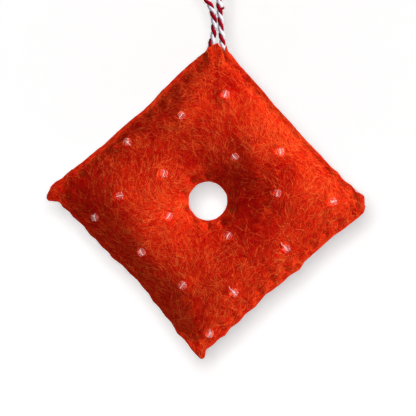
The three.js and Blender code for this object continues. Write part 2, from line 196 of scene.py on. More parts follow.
def carried_frames(path):
    """Two directions across a path at each of its points, carried along without a twist."""
    along = unit(np.gradient(path, axis=0))
    across = np.zeros_like(path)
    across[0] = unit(np.cross(along[0], [0.31, 0.94, 0.12]))
    for i in range(1, len(path)):
        turned = across[i - 1] - along[i] * (across[i - 1] @ along[i])
        across[i] = turned / np.linalg.norm(turned)
    return across, np.cross(along, across)


class Tubes:
    """Round strands gathered into one mesh, with a map: u round the strand, v along it."""

    def __init__(self):
        self.points, self.faces, self.uvs, self.count = [], [], [], 0

    def add(self, path, radius, sides, u_span=(0.0, 1.0), v_span=(0.0, 1.0), frames=None, flatness=1.0):
        across, beside = carried_frames(path) if frames is None else frames
        turn = np.arange(sides) * 2 * math.pi / sides
        ring = np.cos(turn)[None, :, None] * across[:, None]
        ring = ring + flatness * np.sin(turn)[None, :, None] * beside[:, None]
        radii = np.broadcast_to(radius, len(path))[:, None, None]
        self.points.append((path[:, None] + ring * radii).reshape(-1, 3))
        v = np.linspace(*v_span, len(path))
        u = np.linspace(*u_span, sides + 1)
        for i in range(len(path) - 1):
            here, after = self.count + i * sides, self.count + (i + 1) * sides
            for k in range(sides):
                n = (k + 1) % sides
                self.faces.append((here + k, here + n, after + n, after + k))
                self.uvs += [(u[k], v[i]), (u[k + 1], v[i]), (u[k + 1], v[i + 1]), (u[k], v[i + 1])]
        last = self.count + (len(path) - 1) * sides
        self.faces.append(tuple(range(self.count + sides - 1, self.count - 1, -1)))
        self.faces.append(tuple(range(last, last + sides)))
        self.uvs += [(u[k], v[0]) for k in range(sides)] + [(u[k], v[-1]) for k in range(sides)]
        self.count += len(path) * sides

    def piece(self, name):
        made = new_piece(name, np.vstack(self.points), self.faces, self.uvs)
        smooth_shade(made)
        return made


def ply_paths(path, offset, twist, start=0.0):
    """Two plies wound round a path, each with its directions out from the path and across."""
    across, beside = carried_frames(path)
    turn = -2 * math.pi * (lengths_along(path) + start) / twist
    plies = []
    for angle in (turn, turn + math.pi):
        out = np.cos(angle)[:, None] * across + np.sin(angle)[:, None] * beside
        strand = path + offset * out
        plies.append((strand, (out, np.cross(unit(np.gradient(path, axis=0)), out))))
    return plies


# Materials

class Nodes:
    """One node tree, its nodes added by kind and joined by their sockets."""

    def __init__(self, tree):
        self.tree = tree

    def join(self, value, socket):
        if isinstance(value, bpy.types.NodeSocket):
            self.tree.links.new(value, socket)
        else:
            socket.default_value = value

    def add(self, kind, settings=None, **inputs):
        """A node with its settings and with its sockets by name or, as i0 and on, by number."""
        made = self.tree.nodes.new(kind)
        for key, value in (settings or {}).items():
            setattr(made, key, value)
        for key, value in inputs.items():
            numbered = key[0] == "i" and key[1:].isdigit()
            self.join(value, made.inputs[int(key[1:]) if numbered else key])
        return made

    def place(self):
        return self.add("ShaderNodeTexCoord").outputs["Object"]

    def strand_map(self):
        return self.add("ShaderNodeUVMap", {"uv_map": "OFBake"}).outputs[0]

    def grain(self, place, scale, detail, roughness=0.5):
        inputs = {"Vector": place, "Scale": scale, "Detail": detail, "Roughness": roughness}
        return self.add("ShaderNodeTexNoise", **inputs).outputs

    def maths(self, operation, first, second=0.0):
        return self.add("ShaderNodeMath", {"operation": operation}, i0=first, i1=second).outputs[0]

    def spread(self, value, low, high, at_low, at_high, kind="LINEAR"):
        """A value between low and high, brought to a range of its own."""
        inputs = {"Value": value, "i1": low, "i2": high, "i3": at_low, "i4": at_high}
        return self.add("ShaderNodeMapRange", {"interpolation_type": kind}, **inputs).outputs[0]

    def mix(self, factor, first, second):
        inputs = {"i0": factor, "i6": first, "i7": second}
        return self.add("ShaderNodeMix", {"data_type": "RGBA"}, **inputs).outputs[2]

    def ramp(self, factor, *stops):
        made = self.add("ShaderNodeValToRGB", Fac=factor)
        elements = made.color_ramp.elements
        while len(elements) < len(stops):
            elements.new(0.5)
        for element, (place, colour) in zip(elements, stops):
            element.position = place
            element.color = (*colour, 1.0)
        return made.outputs["Color"]

    def bump(self, shader, height, strength, depth):
        grained = self.add("ShaderNodeBump", Strength=strength, Distance=depth * MM, Height=height)
        self.join(grained.outputs[0], shader.inputs["Normal"])


def new_material(name, roughness, specular):
    material = bpy.data.materials.new(name)
    material.use_nodes = True
    shader = material.node_tree.nodes["Principled BSDF"]
    shader.inputs["Roughness"].default_value = roughness
    shader.inputs["Specular IOR Level"].default_value = specular
    return material, Nodes(material.node_tree), shader


def fibre_lines(nodes, place, turns, length, width, thinness):
    """Thin wandering lines in three directions, as fibres lie in felt."""
    lines = []
    for turn in turns:
        scale = (1 / (length * MM), 0.2 / (width * MM), 1 / (width * MM))
        laid = nodes.add("ShaderNodeMapping", Vector=place, Rotation=(0.0, turn, 0.0), Scale=scale)
        grain = nodes.grain(laid.outputs[0], 1.0, 1.0, 0.4)["Fac"]
        away = nodes.maths("ABSOLUTE", nodes.maths("SUBTRACT", grain, 0.5))
        lines.append(nodes.spread(away, 0.0, thinness, 1.0, 0.0, "SMOOTHSTEP"))
    return nodes.maths("MAXIMUM", nodes.maths("MAXIMUM", lines[0], lines[1]), lines[2])


def felt_material():
    material, nodes, shader = new_material("felt_cloth", 1.0, 0.02)
    place = nodes.place()
    wander = nodes.grain(place, 260.0, 2.0)["Color"]
    shift = nodes.add(
        "ShaderNodeVectorMath", {"operation": "MULTIPLY_ADD"}, i0=wander, i1=(2.4 * MM,) * 3, i2=place
    ).outputs[0]
    cloud = nodes.grain(place, 340.0, 5.0, 0.65)["Fac"]
    # The felt's tone attribute holds random dye and, on the front, painted shade and painted light
    tone_with_painted_light = nodes.add("ShaderNodeAttribute", {"attribute_name": "tone_with_painted_light"}).outputs["Fac"]
    base = nodes.ramp(
        nodes.maths("ADD", cloud, nodes.maths("MULTIPLY", tone_with_painted_light, 0.12)),
        (0.25, (0.46, 0.004, 0.003)), (0.5, (0.63, 0.022, 0.005)), (0.75, (0.76, 0.062, 0.010)),
    )
    lit = fibre_lines(nodes, shift, (0.4, 1.3, 2.3), 5.0, 0.5, 0.035)
    sunk_shade_lines = fibre_lines(nodes, shift, (0.9, 1.9, 2.9), 4.0, 0.45, 0.03)
    fibre = nodes.ramp(
        nodes.grain(shift, 520.0, 2.0)["Fac"],
        (0.35, (0.70, 0.035, 0.008)), (0.55, (0.74, 0.065, 0.013)), (0.7, (0.62, 0.10, 0.025)),
    )
    # Painted shade: the sunk fibre lines are darkened towards a deep dark red, as the grooves between
    # fibres lie in shade
    shaded = nodes.mix(nodes.maths("MULTIPLY", sunk_shade_lines, 0.45), base, (0.22, 0.003, 0.003, 1))
    colour = nodes.mix(nodes.maths("MULTIPLY", lit, 0.5), shaded, fibre)
    nodes.join(colour, shader.inputs["Base Color"])
    nodes.bump(shader, nodes.maths("SUBTRACT", nodes.maths("ADD", lit, cloud), sunk_shade_lines), 0.5, 0.12)
    return material


def fibre_material():
    material, nodes, shader = new_material("felt_fibres", 0.9, 0.03)
    tone = nodes.add("ShaderNodeSeparateXYZ", Vector=nodes.strand_map()).outputs[0]
    colour = nodes.ramp(
        tone,
        (0.0, (0.50, 0.001, 0.002)), (0.25, (0.66, 0.003, 0.003)), (0.5, (0.79, 0.016, 0.005)),
        (0.72, (0.92, 0.070, 0.010)), (0.9, (0.95, 0.150, 0.022)), (1.0, (0.91, 0.230, 0.055)),
    )
    nodes.join(colour, shader.inputs["Base Color"])
    return material


def strand_grain(nodes, scale, detail, turn=0.0):
    """Noise drawn out along a strand."""
    strand = nodes.strand_map()
    laid = nodes.add("ShaderNodeMapping", Vector=strand, Rotation=(0.0, 0.0, turn), Scale=(*scale, 1.0))
    return nodes.grain(laid.outputs[0], 1.0, detail)["Fac"]


def twine_material():
    material, nodes, shader = new_material("two_ply_twine", 0.9, 0.05)
    grain = strand_grain(nodes, (34.0, 60.0), 3.0, 0.5)
    red = nodes.ramp(grain, (0.3, (0.13, 0.001, 0.004)), (0.7, (0.36, 0.003, 0.014)))
    white = nodes.ramp(grain, (0.3, (0.44, 0.42, 0.47)), (0.65, (0.67, 0.65, 0.72)))
    round_strand = nodes.add("ShaderNodeSeparateXYZ", Vector=nodes.strand_map()).outputs[0]
    is_white = nodes.maths("GREATER_THAN", round_strand, 0.5)
    nodes.join(nodes.mix(is_white, red, white), shader.inputs["Base Color"])
    nodes.bump(shader, grain, 0.6, 0.1)
    return material


def thread_material(name, dark, light, roughness):
    material, nodes, shader = new_material(name, roughness, 0.05)
    colour = nodes.ramp(strand_grain(nodes, (6.0, 900.0), 2.0), (0.3, dark), (0.7, light))
    nodes.join(colour, shader.inputs["Base Color"])
    return material


def glass_material():
    material, nodes, shader = new_material("clear_glass", 0.04, 0.5)
    cloud = nodes.grain(nodes.place(), 900.0, 2.0)["Fac"]
    colour = nodes.ramp(cloud, (0.3, (0.80, 0.72, 0.71)), (0.7, (0.92, 0.86, 0.85)))
    nodes.join(colour, shader.inputs["Base Color"])
    # Painted reflection: towards its outline the glass turns partly milky, so its rim shows pale as if it
    # caught the white surroundings
    painted_rim_facing = nodes.add("ShaderNodeLayerWeight", Blend=0.5).outputs["Facing"]
    nodes.join(nodes.spread(painted_rim_facing, 0.58, 0.74, 1.0, 0.45), shader.inputs["Transmission Weight"])
    shader.inputs["IOR"].default_value = 1.3
    return material


def stuffing_material():
    material, nodes, shader = new_material("fibrefill", 1.0, 0.5)
    tuft = nodes.grain(nodes.place(), 700.0, 6.0, 0.7)["Fac"]
    colour = nodes.ramp(tuft, (0.3, (0.62, 0.60, 0.56)), (0.65, (0.88, 0.87, 0.84)))
    nodes.join(colour, shader.inputs["Base Color"])
    nodes.bump(shader, tuft, 0.8, 0.3)
    return material


# Camera: the photograph's frame is 124.8 mm wide at the felt
VIEW_WIDTH = 0.1248
VIEW_DISTANCE = 1.2
VIEW_CENTRE = Vector((-0.00036, 0.0, -0.11025))

camera_data = bpy.data.cameras.new("camera")
camera_data.sensor_width = 36.0
camera_data.lens = camera_data.sensor_width * VIEW_DISTANCE / VIEW_WIDTH
camera = bpy.data.objects.new("camera", camera_data)
camera.location = VIEW_CENTRE + Vector((0.0, -VIEW_DISTANCE, 0.0))
camera.rotation_euler = (math.pi / 2, 0.0, 0.0)
scene.collection.objects.link(camera)
scene.camera = camera

# Twine route up the left strand, over the loop and down the right, from the top corner
TWINE_LEFT = [
    (-1.9, 0, -7), (-2.1, 0, -4), (-2.1, 0, -1.4), (-1.5, 0, 0.5), (-1.15, 0, 2),
    (-1.05, 0, 4.2), (-1.05, 0, 6.4), (-1.35, 0, 8), (-2.2, 0, 10.6), (-3.6, 0, 12.8),
]
TWINE_TOP = [
    (-7.4, 0.6, 21), (-9.9, 1, 33), (-10.4, 0.8, 45), (-8.2, 0.3, 55.8), (-2.5, 0, 60.78),
    (3.1, -0.3, 55.8), (5.2, -0.8, 45), (4.5, -1, 33), (2.5, -0.6, 21),
]
TWINE_RIGHT = [
    (0.45, 0, 12.5), (0.55, 0, 10), (0.7, 0, 8.2), (0.85, 0, 6.4), (0.95, 0, 4.2),
    (1.15, 0, 2), (1.35, 0, 0.5), (1.55, 0, -1.4), (1.7, 0, -4), (1.2, 0, -7),
]
KNOT_RIGHT = -KNOT_DEPTH * math.sin(HANG_TILT)
TWINE_SPACING = 0.3
TWINE_SIDES = 10
LOOP_FUZZ = 150
END_FUZZ = 6
KNOT_FUZZ = 4
FUZZ_REACH = (0.3, 0.75)
FUZZ_RADII = (0.03, 0.025, 0.012)
TUFT_RISE = 9.3
TUFT_HAIRS = 30
TUFT_ROOT = (0.4, -0.4, 0.0)
TUFT_WAY = np.array([1.0, -0.2, 0.45])
TUFT_SAG = (0.0, 0.0, 0.12)
TUFT_REACH = (0.7, 1.3)
TUFT_RADII = (0.1, 0.09, 0.04)
LEG_SPLIT = 3.35

# Places round the strand, in its map, that take the red and the white ply's colour
RED_U = (0.24, 0.26)
WHITE_U = (0.74, 0.76)
HAIR_V = (0.4, 0.6)


def twine_route():
    left_end = [(KNOT_RIGHT - TAIL_SPREAD, 0, TAIL_END)]
    right_end = [(KNOT_RIGHT + TAIL_SPREAD, 0, TAIL_END)]
    route = left_end + TWINE_LEFT + TWINE_TOP + TWINE_RIGHT + right_end
    return smooth_route(np.array(route) + TOP_CORNER, TWINE_SPACING)


def twine_fuzz(tubes, ply, u_span, count, rng):
    """Short loose hairs standing off a ply."""
    along = unit(np.gradient(ply, axis=0))
    for _ in range(count):
        i = rng.integers(2, len(ply) - 2)
        out = unit(np.cross(along[i], rng.normal(size=3)))
        reach = rng.uniform(*FUZZ_REACH)
        lean = along[i] * rng.normal(0, 0.5) + rng.normal(0, 0.2, 3)
        start = ply[i] + out * PLY_RADIUS * 0.8
        hair = np.array([start, start + (out + lean) * reach * 0.5, start + (out + 2 * lean) * reach])
        tubes.add(hair, FUZZ_RADII, 3, u_span, HAIR_V)


def frayed_tuft(tubes, path, rng):
    """A pinch of red fibre that has worked loose beside the right strand."""
    right = np.nonzero(path[:, 0] > TOP_CORNER[0])[0]
    root = path[right[np.argmin(np.abs(path[right, 2] - TOP_CORNER[2] - TUFT_RISE))]]
    for _ in range(TUFT_HAIRS):
        start = root + TUFT_ROOT + rng.normal(0, 0.14, 3)
        way = unit(TUFT_WAY + rng.normal(0, 0.22, 3))
        reach = rng.uniform(*TUFT_REACH)
        hair = np.array([start, start + 0.5 * reach * way - TUFT_SAG, start + reach * way])
        tubes.add(hair, TUFT_RADII, 3, RED_U, HAIR_V)


def plied_twine(name, path, start, fuzz, seed, frayed=False):
    rng = np.random.default_rng(seed)
    tubes = Tubes()
    for ply, (strand, frames) in enumerate(ply_paths(path, PLY_OFFSET, TWINE_TWIST, start)):
        u_span = (0.02 + 0.5 * ply, 0.48 + 0.5 * ply)
        tubes.add(strand, PLY_RADIUS, TWINE_SIDES, u_span, (0.0, 1.0), frames, PLY_FLATNESS)
        twine_fuzz(tubes, strand, WHITE_U if ply else RED_U, fuzz, rng)
    if frayed:
        frayed_tuft(tubes, path, rng)
    piece = tubes.piece(name)
    piece.data.materials.append(twine_yarn)
    return piece


twine_yarn = twine_material()
whole_twine = twine_route()
run = lengths_along(whole_twine)
above_split = np.nonzero(whole_twine[:, 2] > TOP_CORNER[2] + LEG_SPLIT)[0]
first, last = above_split[0], above_split[-1]
loop_path = whole_twine[first:last + 1]
left_path, right_path = whole_twine[:first + 1], whole_twine[last:]
loop_start, right_start = run[first] + TWIST_START, run[last] + TWIST_START
twine_loop = plied_twine("hanging_twine", loop_path, loop_start, LOOP_FUZZ, seed=11, frayed=True)
twine_left = plied_twine("twine_left_end", left_path, TWIST_START, END_FUZZ, seed=12)
twine_right = plied_twine("twine_right_end", right_path, right_start, END_FUZZ, seed=13)


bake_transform(twine_loop)
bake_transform(twine_left)
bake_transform(twine_right)
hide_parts("twine_loop", "twine_leg_left", "twine_leg_right")
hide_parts("twine_tail_left")
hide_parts("twine_tail_right")


def tied_knot():
    """The tails' knot inside the corner, a trefoil of the same twine."""
    turn = np.linspace(0, 4 * math.pi, 160)
    wide = 0.5 * KNOT_RADIUS * (2 + np.cos(1.5 * turn))
    deep = 0.5 * KNOT_RADIUS * np.sin(1.5 * turn)
    path = np.stack([wide * np.cos(turn), -deep, wide * np.sin(turn)], axis=1)
    up = np.array([math.sin(HANG_TILT), 0.0, math.cos(HANG_TILT)]) * (CORNER_REACH - KNOT_DEPTH)
    return plied_twine("twine_knot_tied", path + PILLOW_MIDDLE + up, 0.0, KNOT_FUZZ, seed=14)


knot = tied_knot()
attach(knot, "pillow")
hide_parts("twine_knot")


# Felt outline: corners clockwise from the top, in the pillow's own plane

def corner(side):
    bearing = HANG_TILT + side * math.pi / 2
    return CORNER_REACH * np.array([math.sin(bearing), math.cos(bearing)])


def outward(side):
    return unit(corner(side) + corner(side + 1))


def draw_in(along):
    return 4 * SIDE_DRAW_IN * along * (1 - along)


def edge_point(side, along):
    return (1 - along) * corner(side) + along * corner(side + 1) - draw_in(along) * outward(side)


def pierce_share(stitch):
    pitch = (PANEL_SIDE - 2 * EDGE_STITCH_START) / (STITCHES_PER_SIDE - 1)
    return (EDGE_STITCH_START + stitch * pitch) / PANEL_SIDE


def edge_stitches():
    """Each stitch's needle hole, the place where the thread turns over the edge, and the way out there."""
    found = []
    for side in range(4):
        first_one = 1 if side == 0 else 0
        last_one = STITCHES_PER_SIDE - 2 if side == 3 else STITCHES_PER_SIDE - 1
        for i in range(first_one, last_one + 1):
            pierce = edge_point(side, pierce_share(i)) - EDGE_STITCH_INSET * outward(side)
            if i == STITCHES_PER_SIDE - 1:
                found.append((pierce, corner(side + 1), unit(corner(side + 1))))
            else:
                halfway = (pierce_share(i) + pierce_share(i + 1)) / 2
                found.append((pierce, edge_point(side, halfway), outward(side)))
    return found


def rim_stitches():
    found = []
    for i in range(RIM_STITCHES):
        bearing = 2 * math.pi * i / RIM_STITCHES
        halfway = bearing + math.pi / RIM_STITCHES
        away = np.array([math.sin(bearing), math.cos(bearing)])
        inward = -np.array([math.sin(halfway), math.cos(halfway)])
        pierce = HOLE_MIDDLE + (HOLE_RADIUS + RIM_STITCH_INSET) * away
        found.append((pierce, HOLE_MIDDLE - HOLE_RADIUS * inward, inward))
    return found


EDGE_STITCHES = edge_stitches()
RIM_STITCH_PLACES = rim_stitches()
PIERCES = np.array([stitch[0] for stitch in EDGE_STITCHES + RIM_STITCH_PLACES])


def ring_shares():
    even = np.linspace(0, 1, RINGS)
    return 0.45 * even + 0.55 * (0.5 - 0.5 * np.cos(math.pi * even))


def inside_sides(flat):
    """How far each place lies inside the sewn strips, eased where two sides meet."""
    gaps = []
    for side in range(4):
        reach = corner(side + 1) - corner(side)
        along = np.clip((flat - corner(side)) @ reach / (reach @ reach), 0, 1)
        gaps.append((corner(side) - flat) @ outward(side) - draw_in(along) - EDGE_FLAT)
    nearest = np.min(gaps, axis=0)
    ease = CORNER_EASE + INNER_EASE * np.maximum(nearest, 0)
    eased = nearest - ease * np.log(np.sum(np.exp((nearest - gaps) / ease), axis=0))
    return np.maximum(eased, 0)


def crown_height(flat):
    """The felt's inner face: lowest at the sewn strips, highest nearer the sides than the hole."""
    from_rim = np.maximum(np.linalg.norm(flat - HOLE_MIDDLE, axis=-1) - HOLE_RADIUS - RIM_FLAT, 0)
    share = from_rim / np.maximum(from_rim + inside_sides(flat), 1e-6)
    wave = np.maximum(np.sin(math.pi * share ** CROWN_LEAN), 0)
    rise = CROWN_HEIGHT - FELT_THICKNESS - SEAM_GAP / 2
    return SEAM_GAP / 2 + rise * wave ** CROWN_FULLNESS


def sheet_grid():
    """Place and inner height of the felt over a grid of rays from the hole's rim to the sides."""
    rays = []
    for side in range(4):
        for i in range(RAYS_PER_SIDE):
            reach = edge_point(side, i / RAYS_PER_SIDE) - HOLE_MIDDLE
            distance = HOLE_RADIUS + ring_shares() * (np.linalg.norm(reach) - HOLE_RADIUS)
            rays.append(HOLE_MIDDLE + distance[:, None] * unit(reach))
    flat = np.array(rays)
    return flat, crown_height(flat)


# The two felts sewn into one closed skin and pressed out by the filling
SIM_SCALE = 0.02
SIM_FRAMES = 20
SIM_PRESSURE = 4.0
SWELL_CAP = 0.8
HELD_BY_STITCH = 1.0


def swollen(points, faces, held, most):
    """A skin's points once the filling has pressed them out, by so much at most, save the held ones."""
    mesh = bpy.data.meshes.new("skin")
    mesh.from_pydata((points * SIM_SCALE).tolist(), [], faces)
    skin = bpy.data.objects.new("skin", mesh)
    scene.collection.objects.link(skin)
    skin.vertex_groups.new(name="held").add([int(i) for i in held], 1.0, "REPLACE")
    cloth = skin.modifiers.new("Cloth", "CLOTH")
    cloth.settings.quality = 6
    cloth.settings.vertex_group_mass = "held"
    cloth.settings.use_pressure = True
    cloth.settings.uniform_pressure_force = SIM_PRESSURE
    cloth.settings.effector_weights.gravity = 0.0
    cloth.settings.tension_stiffness = 40.0
    cloth.settings.compression_stiffness = 40.0
    cloth.settings.bending_stiffness = 4.0
    cloth.point_cache.frame_end = SIM_FRAMES
    for step in range(1, SIM_FRAMES + 1):
        scene.frame_set(step)
    apply_modifiers(skin)
    pressed = np.array([v.co for v in skin.data.vertices]) / SIM_SCALE
    scene.frame_set(1)
    bpy.data.objects.remove(skin)
    move = pressed - points
    far = np.maximum(np.linalg.norm(move, axis=1, keepdims=True), 1e-9)
    return points + move * np.minimum(1.0, most / far)


def grid_faces(index):
    after = np.roll(index, -1, axis=0)
    quads = np.stack([index[:, :-1], after[:, :-1], after[:, 1:], index[:, 1:]], axis=2)
    return quads.reshape(-1, 4).tolist()


def felt_sheets():
    """Inner faces of the front and back felt, as grids of ray by ring."""
    flat, height = sheet_grid()
    rays, rings = height.shape
    front = np.stack([flat[..., 0], -height, flat[..., 1]], axis=2)
    back = front * [1, -1, 1]
    shared = front.copy()
    shared[:, [0, -1], 1] = 0.0
    points = np.vstack([shared.reshape(-1, 3), back[:, 1:-1].reshape(-1, 3)])
    front_index = np.arange(rays * rings).reshape(rays, rings)
    back_index = front_index.copy()
    back_index[:, 1:-1] = rays * rings + np.arange(rays * (rings - 2)).reshape(rays, rings - 2)
    faces = grid_faces(front_index) + [face[::-1] for face in grid_faces(back_index)]
    gap = np.linalg.norm(points[:, None, [0, 2]] - PIERCES[None], axis=2).min(axis=1)
    held = np.union1d(np.nonzero(gap < HELD_BY_STITCH)[0], front_index[:, [0, -1]].ravel())
    points = swollen(points, faces, held, SWELL_CAP)
    return points[front_index], points[back_index]


# Shaping of the felts: each step takes and gives points from the pillow's middle

def flat_of(points):
    return points[:, [0, 2]]


def noise_at(points, wave, seed):
    shift = Vector((seed, 2.0 * seed, 0.0))
    return np.array([noise.noise(Vector(p / wave) + shift) for p in points])


def near_place(flat, place, width):
    """1 at a place, fading away from it over a width."""
    return np.exp(-((flat - place) ** 2).sum(axis=1) / width ** 2)


def off_line(flat, start, end):
    """How far each place lies from the line between two places."""
    reach = np.subtract(end, start)
    share = np.clip((flat - start) @ reach / (reach @ reach), 0, 1)
    return np.linalg.norm(flat - start - share[:, None] * reach, axis=1)


def raised(points, rise):
    moved = points.copy()
    moved[:, 1] += np.sign(points[:, 1]) * rise
    return moved


# How tightly each stitch is drawn, clockwise from the top corner
STITCH_PULL = np.array([
    0.2, 0.4, 0.3, 0.5, 0.3, 0.5, 0.3, 0.4, 0.5, 0.3, 0.3,
    0.3, 0.6, 0.4, 0.6, 0.3, 0.7, 0.5, 0.6, 0.4, 0.7, 0.5, 0.4,
    0.5, 0.6, 0.4, 0.7, 0.3, 0.6, 0.5, 0.4, 0.6, 0.3, 0.5, 0.3,
    0.3, 0.4, 0.2, 0.4, 0.3, 0.2, 0.4, 0.3, 0.2, 0.4, 0.2,
])
RIM_PULL = 0.7
PUCKER_DEPTH = 1.2
PUCKER_WIDTH = 1.1
GROOVE_DEPTH = 0.35
GROOVE_WIDTH = 0.55
DEEPEST_DIP = 0.75


def pulled_by_stitches(points):
    """The felt dips at each needle hole and under the thread that leaves it."""
    flat = flat_of(points)
    height = np.abs(points[:, 1])
    layer = np.clip(height / (FELT_THICKNESS + SEAM_GAP), 0, 1.2)
    dip = np.zeros(len(points))
    strength = np.concatenate([STITCH_PULL, np.full(RIM_STITCHES, RIM_PULL)])
    for (pierce, turn, _), pull in zip(EDGE_STITCHES + RIM_STITCH_PLACES, strength):
        pucker = PUCKER_DEPTH * near_place(flat, pierce, PUCKER_WIDTH)
        groove = GROOVE_DEPTH * np.exp(-(off_line(flat, pierce, turn) / GROOVE_WIDTH) ** 2)
        dip = np.maximum(dip, pull * np.maximum(pucker, groove))
    return raised(points, -np.minimum(dip * layer, DEEPEST_DIP * height))


# Corners clockwise from the top: how far blunted, how much it bulges, how its tip is bent, how broadly
FRONT_CORNERS = (
    (0.0, 1.0, (0.0, 0.0), 4.0),
    (1.0, 0.9, (0.0, 1.2), 4.0),
    (0.0, 0.0, (0.2, -1.25), 3.2),
    (0.0, 0.0, (-1.6, -2.6), 3.6),
)
BACK_CORNERS = ((0.0, 0.0, (2.2, -1.4), 2.5),) + FRONT_CORNERS[1:]
BLUNT_LEFT = 0.2

# The front's top edge, right of and above the corner: a point, a slit for the right strand and a flap
TOP_EDGE = np.array([
    (-6.2, -5.85), (-3.55, -3.45), (-2.9, -2.2), (0.1, -0.95), (1.2, -3.0), (1.8, -4.2),
    (2.2, -3.2), (2.6, -1.0), (3.2, -3.2), (3.9, -4.05), (5.3, -5.85),
])
TOP_LEFT_OVER = 0.03

# Creases in the front, each from one place to another with its depth and width
CREASES = [
    ((43.2, 2.4), (44.6, -2.6), 0.5, 0.45),
    ((4.4, 43.6), (4.9, 40.9), 0.8, 0.5),
    ((-1.0, -42.5), (-2.6, -44.6), 0.3, 0.5),
]
DEEPEST_CREASE = 0.6

# Nicks in the outline: place, the way the edge is drawn there, and width
EDGE_NICKS = [((-0.9, -45.7), (-0.6, 0.3), 1.2), ((-47.3, 2.4), (0.4, -0.3), 1.0)]

# How far each sewn side stands out from the straight line between its corners: along the side, and out
SIDE_LINES = (
    [
        (4.5, 0.3), (6, 0.4), (10, 0), (20, 0), (25.5, -0.3), (33.5, -0.2), (39.5, -0.3), (46.5, 0),
        (51, -0.1), (53.7, 0.4), (56.2, 0.1), (59.5, 0.9), (61, 0.7), (63.5, 1.4),
    ],
    [
        (2, 0.8), (6, 0.7), (10, 0.4), (13, -0.1), (25, -0.2), (27.7, 0.6), (31, -0.1), (34, 0),
        (38, -0.3), (40.3, -0.7), (45, 0), (48.5, -0.4), (51.7, 0.1), (54.7, -0.3), (57.5, 0.3),
        (59.5, -0.3), (61.7, 0), (64.2, -0.3),
    ],
    [
        (2.5, 0.9), (7, 0.4), (9.8, 0.8), (13.5, -0.2), (16, 0), (19, -0.4), (22, -0.3), (24.5, -0.9),
        (27, -0.8), (29.8, -1.1), (32.5, -0.7), (36, -0.7), (39.7, 0.1), (41.7, -0.2), (44.2, 0.2),
        (47, 0), (49.2, 0.4), (52.5, 0), (56.5, 0.6), (58.5, 0.4), (61, 1.0), (61.5, 1.0),
    ],
    [
        (-1.7, -0.2), (-0.7, 0.3), (0.5, 0.8), (2.1, 1.1), (3.4, 0.8), (4.9, 0.4), (7, 0.6), (12, 0),
        (19, -0.2), (20.5, -0.5), (26, -0.3), (32, -0.4), (36, -0.7), (41, -0.5), (44.5, 0),
        (46, -0.1), (52, 0.3), (60, 0.2), (62, 0),
    ],
)
SIDE_LINE_REACH = 5.0
SIDE_LINE_FADE = 2.0
EDGE_SEARCH = 0.6


def shaped_corners(points, shapes):
    """Sewn corners are seldom sharp: some are blunt, some have their tips bent."""
    moved = points.copy()
    for place, (blunt, bulge, bend, width) in enumerate(shapes):
        way = unit(corner(place))
        side = np.array([way[1], -way[0]])
        off = flat_of(moved) - corner(place)
        near = near_place(off, 0.0, width)[:, None]
        ahead, beside = (off @ way)[:, None], (off @ side)[:, None]
        if blunt:
            ahead = np.where(ahead > -blunt, -blunt + BLUNT_LEFT * (ahead + blunt), ahead)
        beside = beside * (1 + bulge * near)
        moved[:, [0, 2]] = corner(place) + ahead * way + beside * side + near * np.array(bend)
    for spot, draw, width in EDGE_NICKS:
        moved[:, [0, 2]] += near_place(flat_of(moved), spot, width)[:, None] * np.array(draw)
    return moved


def drawn_sides(points):
    """The felt's sides brought to the outline that its stitches left."""
    moved = points.copy()
    for side, line in enumerate(SIDE_LINES):
        stations, wanted = np.array(line).T
        off = flat_of(points) - corner(side)
        along = off @ unit(corner(side + 1) - corner(side))
        out = off @ outward(side)
        steps = np.arange(min(stations[0], 0.0), PANEL_SIDE + 1)
        edge = [out[np.abs(along - step) < EDGE_SEARCH].max() for step in steps]
        edge_here = np.interp(along, steps, edge)
        short = np.interp(along, stations, wanted) - edge_here
        near = np.clip(1 - (edge_here - out) / SIDE_LINE_REACH, 0, 1)
        past_start = np.clip((along - stations[0]) / SIDE_LINE_FADE + 1, 0, 1)
        before_end = np.clip((stations[-1] - along) / SIDE_LINE_FADE + 1, 0, 1)
        move = short * past_start * before_end * near * near * (3 - 2 * near)
        moved[:, [0, 2]] += move[:, None] * outward(side)
    return moved


def trimmed_top(points):
    """The front's top edge, tucked down where the twine leaves."""
    moved = points.copy()
    off = flat_of(points) - corner(0)
    over = off[:, 1] - np.interp(off[:, 0], *TOP_EDGE.T)
    moved[:, 2] -= np.where(over > 0, (1 - TOP_LEFT_OVER) * over, 0)
    return moved


def creased(points):
    flat = flat_of(points)
    depths = [
        depth * np.exp(-(off_line(flat, start, end) / width) ** 2) for start, end, depth, width in CREASES
    ]
    return raised(points, -np.minimum(np.max(depths, axis=0), DEEPEST_CREASE * np.abs(points[:, 1])))


# Uneven filling: right of and above the pillow's middle, height and width
FRONT_LUMPS = [
    (28.0, 1.5, 0.9, 8.0), (13.0, 2.0, -0.7, 7.0), (12.6, 13.3, 1.0, 6.0), (18.0, -17.0, 0.5, 7.0),
    (-6.0, 28.5, 0.6, 5.0), (-15.5, 13.5, -0.9, 9.0), (-28.0, 0.0, 0.5, 6.0), (3.0, 33.0, -1.4, 7.0),
    (1.0, -12.0, -0.4, 6.0),
]
BACK_LUMPS = [(-14.0, 10.0, 0.5, 9.0), (16.0, -8.0, -0.5, 8.0)]
LUMPS_FROM_SIDE = 8.0
LUMPS_FROM_HOLE = 6.0
SMALL_LUMPS = ((0.35, 9.0, 3), (0.12, 3.5, 7))


